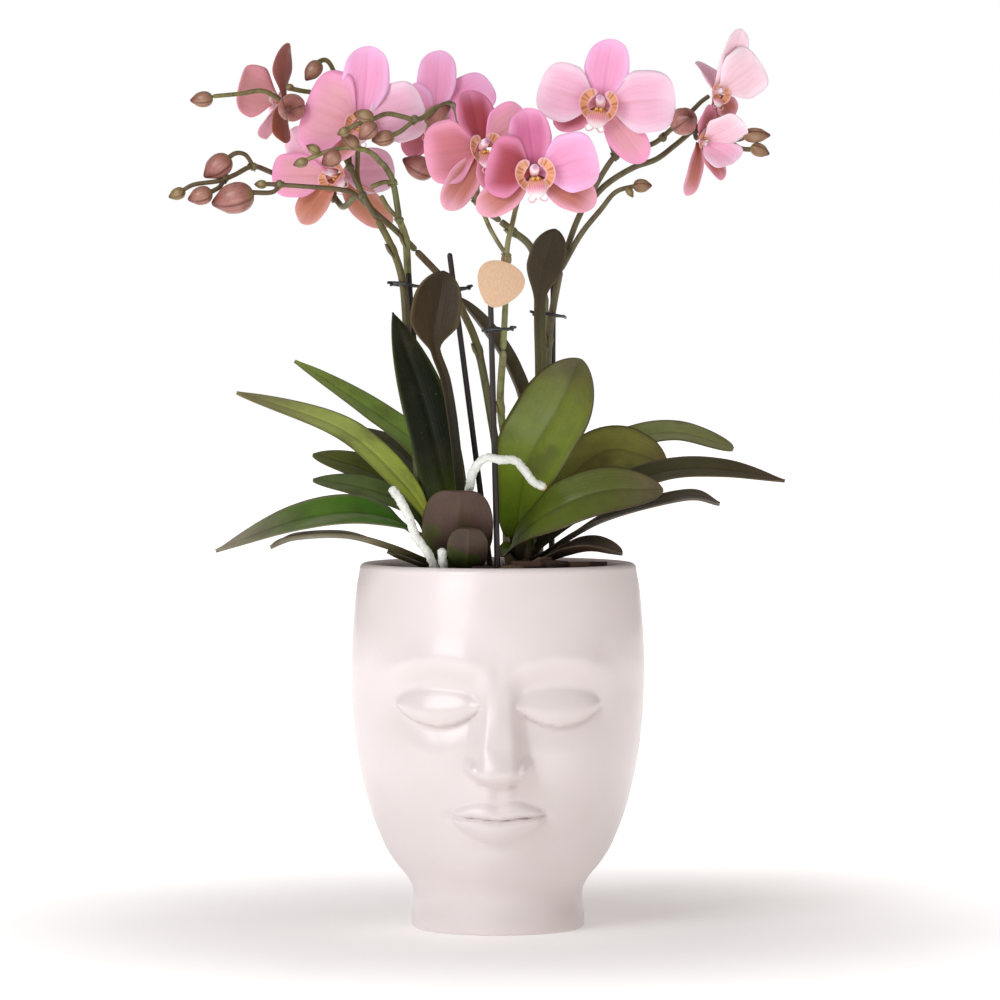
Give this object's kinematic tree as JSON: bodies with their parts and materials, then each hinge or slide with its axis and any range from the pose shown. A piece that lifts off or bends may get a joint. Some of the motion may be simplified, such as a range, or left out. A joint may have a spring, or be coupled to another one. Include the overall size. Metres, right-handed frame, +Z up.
{
  "type": "potted orchid",
  "caption": "Moth orchids with pink flowers, buds and strap leaves in bark, staked, standing in a glazed cover pot with a calm closed-eyed face.",
  "frame": {"origin": "centre of the cover pot's foot, on the surface it stands on", "axes": "+Z up, -Y to the front where the face looks, +X to the face's left hand side"},
  "size_m": [0.2464, 0.1257, 0.3593],
  "materials": {
    "glaze": "satin",
    "clear_plastic": "gloss",
    "bark": "matte",
    "stake_plastic": "matte",
    "clip_plastic": "gloss",
    "card": "matte",
    "leaf": "satin",
    "leaf_underside": "satin",
    "stem": "satin",
    "root": "matte",
    "petal": "satin"
  },
  "bodies": {
    "root": {"cover_pot": "glaze", "nursery_pot": "clear_plastic", "bark_mix": "bark", "stake_front": "stake_plastic", "stake_left": "stake_plastic", "stake_middle": "stake_plastic", "stake_right": "stake_plastic", "clip_front": "clip_plastic", "clip_left": "clip_plastic", "clip_middle": "clip_plastic", "clip_right": "clip_plastic", "tag": "card", "crown_left": "stem", "crown_right": "stem", "root_left": "root", "root_arched": "root", "root_stub": "root", "leaf_long_left": "leaf", "leaf_back_left": "leaf", "leaf_upright": "leaf", "leaf_spoon_left": "leaf_underside", "leaf_low_left": "leaf", "leaf_lower_left": "leaf", "leaf_hidden_left": "leaf", "leaf_broad_left": "leaf", "leaf_under_left": "leaf", "leaf_front_round": "leaf_underside", "leaf_front_small": "leaf_underside", "leaf_base_left": "leaf", "leaf_broad_right": "leaf", "leaf_arched_right": "leaf", "leaf_back_right": "leaf", "leaf_long_right": "leaf", "leaf_front_right": "leaf", "leaf_low_right": "leaf", "leaf_withered": "leaf", "leaf_spoon_right": "leaf_underside", "leaf_folded_back": "leaf", "spike_outer_left": "stem", "spike_inner_left": "stem", "spike_leaning": "stem", "spike_centre": "stem", "spike_right": "stem", "spike_back": "stem", "flower_upper_right": "petal", "flower_front": "petal", "flower_centre": "petal", "flower_left": "petal", "flower_back": "petal", "flower_left_side": "petal", "flower_left_low": "petal", "flower_right_side": "petal", "flower_right_low": "petal"}
  },
  "joints": []
}
